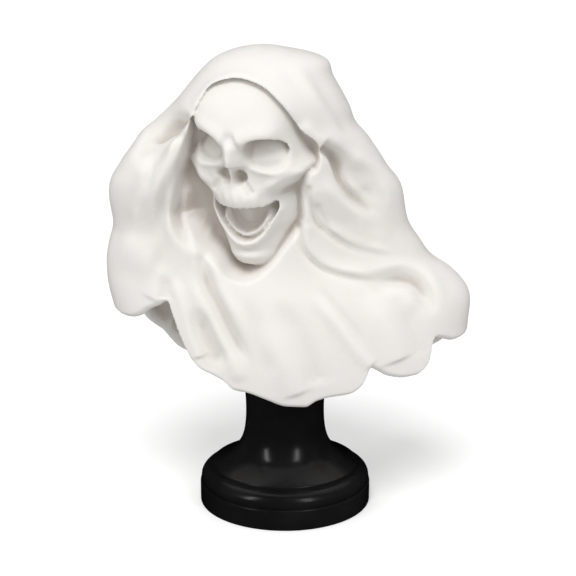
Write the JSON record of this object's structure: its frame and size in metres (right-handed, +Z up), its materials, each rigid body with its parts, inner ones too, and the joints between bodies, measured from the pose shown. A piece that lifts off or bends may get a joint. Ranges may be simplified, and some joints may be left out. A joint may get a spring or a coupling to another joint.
{
  "type": "hooded bust",
  "caption": "White cast bust of a screaming skull in a wide draped hood, standing on a round black turned socle.",
  "frame": {"origin": "centre of the socle's underside, on the turned axis", "axes": "+Z up along the socle's axis, -Y towards the front of the bust, +X to the right as seen from the front"},
  "size_m": [0.2513, 0.1266, 0.3178],
  "materials": {
    "cast_marble": "satin, off-white, slightly translucent cast marble resin",
    "black_satin": "satin black lacquer over a turned foot"
  },
  "bodies": {
    "root": {"hooded_bust": "cast_marble", "turned_socle": "black_satin"}
  },
  "joints": []
}
